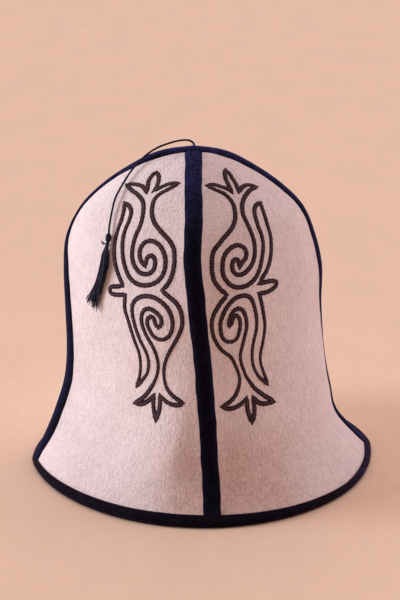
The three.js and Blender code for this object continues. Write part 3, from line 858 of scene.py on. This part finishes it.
def on_gore(places, gore):
    """Levels and bearings on a gore that the camera sees at places of the frame: the nearest of
    a grid of points, then Newton steps with the felt's slopes in the frame."""

    def seen(level, bearing):
        return to_frame(felt_point(level, bearing))

    level, bearing = np.meshgrid(
        np.linspace(1.0, APEX - 0.5, SEARCH_LEVELS),
        gore + np.linspace(SEARCH_EDGE, 1 - SEARCH_EDGE, SEARCH_BEARINGS), indexing="ij")
    nearest = ((places[:, None] - seen(level, bearing).reshape(-1, 2)) ** 2).sum(-1).argmin(1)
    level, bearing = level.ravel()[nearest], bearing.ravel()[nearest]
    for _ in range(NEWTON_ROUNDS):
        miss = places - seen(level, bearing)
        by_level = seen(level + SLOPE_REACH, bearing) - seen(level - SLOPE_REACH, bearing)
        by_bearing = seen(level, bearing + SLOPE_REACH) - seen(level, bearing - SLOPE_REACH)
        slopes = np.stack([by_level, by_bearing], -1) / 2 / SLOPE_REACH
        step = np.linalg.solve(slopes, miss[..., None])[..., 0]
        level = level + np.clip(step[:, 0], -LEVEL_STEP, LEVEL_STEP)
        bearing = bearing + np.clip(step[:, 1], -BEARING_STEP, BEARING_STEP)
    if np.abs(places - seen(level, bearing)).max() > PLACE_MISS:
        raise ValueError("a place of the frame is not on its gore")
    return level, bearing


def tassel_shares():
    """Shares of the tassel's length at its places."""
    return run_along(TASSEL_PLACES) / path_length(TASSEL_PLACES)


# Pieces


class HAT_OT_stage(bpy.types.Operator):
    """Camera at the photograph's viewing angle, plain floor and soft studio light"""

    bl_idname = "hat.stage"
    bl_label = "Stage"

    def execute(self, context):
        scene = context.scene
        scene.view_settings.view_transform = "Standard"
        back = camera_axes()[2]
        camera = bpy.data.objects.new("camera", bpy.data.cameras.new("camera"))
        camera.data.sensor_width = SENSOR
        camera.data.lens = FOCAL_PX * SENSOR / FRAME_PX[1]
        camera.location = (CAMERA_TARGET + back * CAMERA_DISTANCE) * MM
        camera.rotation_euler = (math.pi / 2 - CAMERA_ELEVATION, 0, 0)
        scene.collection.objects.link(camera)
        scene.camera = camera

        mesh = bpy.data.meshes.new("floor")
        corners = FLOOR_REACH * np.array([(-1, -1, 0), (1, -1, 0), (1, 1, 0), (-1, 1, 0)])
        mesh.from_pydata(corners.tolist(), [], [(0, 1, 2, 3)])
        mesh.materials.append(floor_finish(tuple(scene.hat_colours.floor)))
        floor = bpy.data.objects.new("floor", mesh)
        scene.collection.objects.link(floor)

        for name, (turn, rise, spread, strength, colour) in LIGHTS.items():
            light = bpy.data.lights.new(name, "SUN")
            light.angle = math.radians(spread)
            light.energy = strength
            light.color = colour
            lamp = bpy.data.objects.new(name, light)
            lamp.rotation_euler = (math.radians(90 - rise), 0, math.radians(turn))
            scene.collection.objects.link(lamp)

        world = bpy.data.worlds.new("studio")
        world.use_nodes = True
        background = world.node_tree.nodes["Background"]
        background.inputs["Color"].default_value = WORLD_COLOUR
        background.inputs["Strength"].default_value = WORLD_STRENGTH
        scene.world = world
        return {"FINISHED"}


class HAT_OT_tassel(bpy.types.Operator):
    """Twisted cord from the apex over the left shoulder, and the tassel at its end"""

    bl_idname = "hat.tassel"
    bl_label = "Cord and tassel"

    def execute(self, context):
        sizes = context.scene.hat_sizes
        colour = tuple(context.scene.hat_colours.yarn)
        yarn = thread_finish("navy_yarn", colour, YARN_FLECK, grain=1100.0, upright=0.2)
        cord_path = smooth_path(np.concatenate([CORD_ROOT, CORD_ROUTE]), CORD_STEPS)
        cord_skin = self.cord_skin(cord_path, sizes.cord_diameter / MM)
        cord = add_piece("tassel_cord_twisted", cord_skin, yarn, "tassel_cord", YARN_SHARP)
        head = add_piece("tassel_head", self.head_skin(), yarn, "tassel", YARN_SHARP)
        skin = self.skirt_skin(sizes.thread_count)
        skirt = add_piece(
            "tassel_skirt", skin, yarn, "tassel", YARN_SHARP,
            self.thread_tones(len(skin[0])))
        (cord_path * MM).tolist()
        return {"FINISHED"}

    def cord_skin(self, path, diameter):
        """Three-ply twist: a round section with three lobes that turn along the path."""
        angle, ring = ring_round(CORD_CORNERS, *side_and_away(path, CORD_OUTWARD))
        turns = np.linspace(0, path_length(path) / CORD_TURN, len(path)) * 2 * np.pi
        lobes = np.abs(np.cos(1.5 * (angle - turns[:, None])))
        radius = diameter / 2 * (0.74 + 0.26 * lobes)
        return closed_tubes((path[:, None] + radius[..., None] * ring)[None])

    def frame_at(self, share):
        """Middle, sideways and away vectors at shares of the tassel's length: the felt under
        the line is found first, then moved aside so that the raised line is seen in its place."""
        places = smooth_path(TASSEL_PLACES, TASSEL_STEPS)
        place = np.linspace(0, 1, len(places))
        lift = np.interp(place, tassel_shares(), TASSEL_LIFT)[:, None]
        level, bearing = on_gore(places, LEFT)
        for _ in range(3):
            felt, normal = felt_point(level, bearing), felt_normal(level, bearing)
            level, bearing = on_gore(
                places + to_frame(felt) - to_frame(felt + lift * normal), LEFT)
        normal = felt_normal(level, bearing)
        path = felt_point(level, bearing) + lift * normal
        sideways, away = side_and_away(path, normal)
        share = np.asarray(share, float)

        def pick(values):
            return np.stack([np.interp(share, place, values[:, axis]) for axis in range(3)], -1)

        return pick(path), pick(sideways), pick(away)

    def head_skin(self):
        """Knot of wound yarn: an egg-shaped bulb and a narrow bound neck, turned about the
        tassel's line, with slanting turns of yarn round it."""
        t = np.linspace(0, 1, KNOT_ROWS)
        bulb = BULB_RADIUS * np.sqrt(np.clip(1 - ((t - BULB_MIDDLE) / BULB_HALF) ** 2, 0, 1))
        neck = NECK_RADIUS * np.clip(1 - (np.abs(t - NECK_MIDDLE) / NECK_HALF) ** 4, 0, 1)
        radius = np.maximum(bulb, neck) + 0.05
        middle, sideways, away = self.frame_at(KNOT_LENGTH * t)
        angle, ring = ring_round(KNOT_COLUMNS, sideways, away)
        winding = np.abs(np.sin(2 * angle + 30 * t[:, None]))
        radius = radius[:, None] * (0.88 + 0.12 * winding)
        return closed_tubes((middle[:, None] + radius[..., None] * ring)[None])

    def skirt_skin(self, count):
        """Threads that leave the neck together: each keeps its place in an oval whose width
        follows the skirt's, twists slowly round it, waves a little, has its own length and is
        drawn to the middle of its lock near its end. Tie ends stand out at the neck."""
        random = np.random.default_rng(SKIRT_SEED)
        angle = random.uniform(0, 2 * np.pi, (count, 1))
        reach = np.sqrt(random.uniform(0.02, 1.0, (count, 1)))
        length = 1 - 0.2 * random.uniform(0, 1, (count, 1)) ** 1.5
        phase = random.uniform(0, 2 * np.pi, (2, count, 1))
        lock = random.integers(0, LOCKS, count)
        lock_side = (np.linspace(-1, 1, LOCKS) + random.uniform(-0.08, 0.08, LOCKS))[lock, None]
        run = SKIRT_START + (np.linspace(0, 1, STEPS) * length) * (1 - SKIRT_START)
        half = np.interp(run, tassel_shares(), SKIRT_WIDTHS)
        turn = angle + 1.1 * run
        loose = np.clip((run - 0.3) / 0.7, 0, 1)
        side = half * reach * np.cos(turn) + 0.9 * loose * np.sin(7 * run + phase[0])
        side = side + 0.95 * np.clip((run - 0.6) / 0.3, 0, 1) ** 2 * (half * lock_side - side)
        out = np.minimum(0.62 * half, 1.9) * reach * np.sin(turn)
        out = out + 0.25 * loose * np.sin(6 * run + phase[1])
        middle, sideways, away = self.frame_at(run)
        path = middle + side[..., None] * sideways + out[..., None] * away
        bend = np.linspace(0, 1, STEPS)[:, None]
        middle, sideways, away = self.frame_at(np.full(STEPS, TIE_START))
        ties = [
            middle + sideways * (0.8 + long * bend) + away * 0.6 + np.array([0, 0, rise]) * bend**2
            for long, rise in TIES]
        return closed_tubes(self.thread_loops(np.concatenate([path, np.stack(ties)])))

    def thread_tones(self, points):
        """A tone from nought to one for each point, the same all along a thread: the threads'
        points come first, thread by thread, and then the middles of their ends."""
        threads = points // (STEPS * CORNERS + 2)
        tones = np.random.default_rng(TONE_SEED).uniform(0, 1, threads) ** 2
        return np.concatenate([np.repeat(tones, STEPS * CORNERS), tones, tones])

    def thread_loops(self, path):
        """Loops of a few corners round each of many paths, thinner at the free end."""
        ring = ring_round(CORNERS, *side_and_away(path, SKIRT_OUTWARD))[1]
        taper = THREAD_RADIUS * (1 - 0.35 * np.linspace(0, 1, path.shape[1]) ** 3)
        return path[..., None, :] + taper[:, None, None] * ring


class HAT_OT_felt_gores(bpy.types.Operator):
    """The four gores of felt"""

    bl_idname = "hat.felt_gores"
    bl_label = "Felt gores"

    def execute(self, context):
        wall = context.scene.hat_sizes.wall / MM
        felt = felt_finish(tuple(context.scene.hat_colours.felt))
        for gore, place in enumerate(GORES):
            skin = self.gore_skin(gore, wall)
            add_piece(f"felt_{place}", skin, felt, f"felt_panel_{place}")
        return {"FINISHED"}

    def gore_skin(self, gore, wall):
        """The felt's surface from seam to seam and from the brim to the apex, and the same
        surface a wall's thickness inside it."""
        level = np.linspace(level_at(FELT_EDGE), APEX - CROWN_SHORT, GORE_ROWS)[:, None]
        bearing = gore + np.linspace(SEAM_GAP, 1 - SEAM_GAP, GORE_COLUMNS)[None]
        outer = felt_point(level, bearing)
        inner = outer - wall * upright_normal(level, bearing)
        return closed_sheet(outer, inner)


class HAT_OT_seam_tapes(bpy.types.Operator):
    """Velvet tapes over the seams"""

    bl_idname = "hat.seam_tapes"
    bl_label = "Seam tapes"

    def execute(self, context):
        sizes = context.scene.hat_sizes
        velvet = velvet_finish(
            "cotton_velvet", tuple(context.scene.hat_colours.velvet), TAPE_SHEEN)
        levels = np.linspace(level_at(TAPE_FOOT), APEX - TAPE_SHORT, TAPE_ROWS)
        left = self.stops(levels, LEFT)
        middle, normal, across = (part[::-1] for part in self.stops(levels, RIGHT))
        over = [np.concatenate(parts) for parts in zip(left, (middle, normal, -across))]
        tapes = {"across": over}
        clear = sizes.tape_width / MM / 2 + TAPE_CLEAR
        for name, seam in (("front", FRONT), ("back", BACK)):
            gap = felt_point(levels, seam) - felt_point(APEX, seam)
            top = levels[np.linalg.norm(gap[:, :2], axis=1) > clear][-1]
            tapes[name] = self.stops(np.linspace(levels[0], top, TAPE_ROWS), seam)
        for name, stops in tapes.items():
            add_piece(
                f"velvet_tape_{name}", self.tape_skin(sizes, *stops), velvet,
                f"seam_tape_{name}", VELVET_SHARP)
        return {"FINISHED"}

    def stops(self, levels, seam):
        """Places along a seam, the normals there, and level vectors across the tape."""
        radial = radial_at(levels, seam)
        across = np.stack([-radial[:, 1], radial[:, 0], 0 * radial[:, 2]], -1)
        return [felt_point(levels, seam), upright_normal(levels, seam), across]

    def tape_skin(self, sizes, middle, normal, across):
        """Each point goes sideways from the seam and drops to the felt. The upper face is raised
        by a flat dome with rolled edges, and the tape wavers and swells a little along its run, as
        sewn by hand."""
        run = run_along(middle)[:, None]
        v = np.sin(np.linspace(-np.pi / 2, np.pi / 2, TAPE_COLUMNS))
        half = sizes.tape_width / MM / 2 * (1 + waves(run, TAPE_SWELL))
        sideways = v * half + waves(run, TAPE_WAVER)
        starts = middle[:, None] + sideways[..., None] * across[:, None]
        normals = np.broadcast_to(normal[:, None], starts.shape)
        base = dropped_on_felt(starts, normals)
        dome = TAPE_EDGE + (sizes.tape_thick / MM - TAPE_EDGE) * (1 - np.abs(v) ** 5)
        return closed_sheet(base + dome[:, None] * normals, base - TAPE_SEWN * normals)


class HAT_OT_brim_binding(bpy.types.Operator):
    """Velvet binding folded over the brim's edge"""

    bl_idname = "hat.brim_binding"
    bl_label = "Brim binding"

    def execute(self, context):
        sizes = context.scene.hat_sizes
        velvet = velvet_finish(
            "binding_velvet", tuple(context.scene.hat_colours.velvet), BINDING_SHEEN)
        skin = self.binding_skin(sizes.wall / MM, sizes.binding_thick / MM)
        add_piece("velvet_binding", skin, velvet, "brim_binding", VELVET_SHARP)
        return {"FINISHED"}

    def binding_skin(self, wall, thick):
        """Ring with a hairpin section: down the felt's outer face, round its cut edge in a half
        circle, and up the inner face, then back at the felt. The floor flattens it."""
        bearing = np.linspace(0, 4, BINDING_ROUND, endpoint=False)
        outer, inner = (self.hairpin(bearing, wall, offset) for offset in (thick, -BINDING_SEWN))
        loops = np.concatenate([outer, inner[:, ::-1]], axis=1)
        loops[..., 2] = np.maximum(loops[..., 2], 0.0)
        return closed_ring(loops)

    def hairpin(self, bearing, wall, offset):
        """Places on the hairpin at an offset from the felt, for every bearing: the two faces,
        thinner at their upper edges, and the half circle between them."""
        edge_level = level_at(FELT_EDGE)
        share = np.linspace(0, 1, BINDING_FACE, endpoint=False)
        level = level_at(binding_top(bearing))[:, None] * (1 - share) + edge_level * share
        face = felt_point(level, bearing[:, None])
        normal = upright_normal(level, bearing[:, None])
        thin = np.clip(0.4 + 3 * share, 0, 1) if offset > 0 else np.ones_like(share)
        outer = face + (offset * thin)[:, None] * normal
        inner = (face - (wall + offset * thin)[:, None] * normal)[:, ::-1]
        edge, edge_normal = felt_point(edge_level, bearing), upright_normal(edge_level, bearing)
        radial = radial_at(edge_level, bearing)
        down = radial * edge_normal[:, 2:]
        down[:, 2] = -(edge_normal * radial).sum(-1)
        centre = edge - wall / 2 * edge_normal
        turn = turned(np.linspace(0, np.pi, BINDING_TURN), edge_normal, down)
        return np.concatenate(
            [outer, centre[:, None] + (wall / 2 + offset) * turn, inner], axis=1)


class HAT_OT_scrolls(bpy.types.Operator):
    """Scrolls in chain stitch on the gores"""

    bl_idname = "hat.scrolls"
    bl_label = "Stitched scrolls"

    def execute(self, context):
        sizes = context.scene.hat_sizes
        colour = tuple(context.scene.hat_colours.thread)
        thread = thread_finish("scroll_thread", colour, SCROLL_FLECK, grain=620.0, upright=1.0)
        fronts = {"front_left": self.laid_lines(SCROLL_LEFT, LEFT),
                  "front_right": self.laid_lines(SCROLL_RIGHT, FRONT)}
        for side, lines in fronts.items():
            behind = [(level, 4 - bearing) for level, bearing in lines]
            for place, laid in ((side, lines), (side.replace("front", "back"), behind)):
                skins, tones = zip(*[self.line_skin(sizes, *line) for line in laid])
                add_piece(
                    f"scroll_{place}", joined(skins), thread, sharp=YARN_SHARP,
                    tones=np.concatenate(tones))
        return {"FINISHED"}

    def laid_lines(self, scroll, gore):
        """Levels and bearings along each line, about half a millimetre apart, carried on a
        little past its ends."""
        lines = []
        for points in scroll.values():
            points = np.array(points, float) + PIXEL_MIDDLE
            path = smooth_path(points, int(path_length(points) * LINE_STEPS))
            step = np.arange(1, 4)[:, None]
            before = path[0] - step[::-1] * (path[1] - path[0])
            after = path[-1] + step * (path[-1] - path[-2])
            lines.append(on_gore(np.concatenate([before, path, after]), gore))
        return lines

    def line_skin(self, sizes, level, bearing):
        """A chain-stitched line: a rounded band whose width swells with each link and wavers, as
        sewn by hand, with slanting hollows between links and a hollow along its middle. It is
        bolder towards the crown and at the foot, and its ends are drawn to points. Its tone, a
        painted highlight, is palest along the middle of each link, where the raised thread catches
        the light."""
        middle, normal = felt_point(level, bearing), felt_normal(level, bearing)
        along = unit(np.gradient(middle, axis=0))
        sideways = np.cross(normal, along)
        run = run_along(middle)
        links = run * MM / sizes.link_length
        full = sizes.line_width / MM / 2 * np.interp(middle[:, 2], *STITCH_BOLD.T)
        half = full * (0.84 + 0.2 * np.abs(np.sin(np.pi * links)) + waves(run, LINE_WAVER))
        point = np.clip(np.minimum(run, run[-1] - run) / (2.4 * full), 0.02, 1) ** 0.6
        v = np.linspace(-1, 1, LINE_COLUMNS)
        slant = np.abs(np.sin(np.pi * (links[:, None] + 0.4 * np.abs(v))))
        height = np.sqrt(1 - 0.96 * v**2) * (0.68 + 0.32 * slant)
        height = (height - 0.2 * np.exp(-((v / 0.2) ** 2))) * sizes.line_height / MM
        base = middle[:, None] + (v * (half * point)[:, None])[..., None] * sideways[:, None]
        upper = base + (height * point[:, None])[..., None] * normal[:, None]
        # Painted highlight along the raised middle of each link
        tones = (np.exp(-((v / 0.36) ** 2)) * (0.3 + 0.7 * slant)).ravel()
        skin = closed_sheet(upper, base - STITCH_SEWN * normal[:, None])
        return skin, np.concatenate([tones, 0 * tones])


class HAT_PT_looks(bpy.types.Panel):
    """Sidebar panel that lists the pieces"""

    bl_idname = "HAT_PT_looks"
    bl_label = "Felt hat"
    bl_space_type = "VIEW_3D"
    bl_region_type = "UI"
    bl_category = "Felt hat"

    def draw(self, context):
        for operator in OPERATORS:
            self.layout.operator(operator.bl_idname)
        for group in (context.scene.hat_sizes, context.scene.hat_colours):
            for name in group.bl_rna.properties.keys():
                if name not in ("rna_type", "name"):
                    self.layout.prop(group, name)


OPERATORS = (
    HAT_OT_stage, HAT_OT_tassel, HAT_OT_felt_gores, HAT_OT_seam_tapes, HAT_OT_brim_binding,
    HAT_OT_scrolls,
)
CLASSES = (HatSizes, HatColours, *OPERATORS, HAT_PT_looks)


def register():
    for item in CLASSES:
        bpy.utils.register_class(item)
    bpy.types.Scene.hat_sizes = bpy.props.PointerProperty(type=HatSizes)
    bpy.types.Scene.hat_colours = bpy.props.PointerProperty(type=HatColours)


def unregister():
    del bpy.types.Scene.hat_colours
    del bpy.types.Scene.hat_sizes
    for item in reversed(CLASSES):
        bpy.utils.unregister_class(item)


def main():
    register()
    bpy.ops.hat.stage()
    bpy.ops.hat.tassel()
    bpy.ops.hat.felt_gores()
    bpy.ops.hat.seam_tapes()
    bpy.ops.hat.brim_binding()
    bpy.ops.hat.scrolls()


if __name__ == "__main__":
    main()
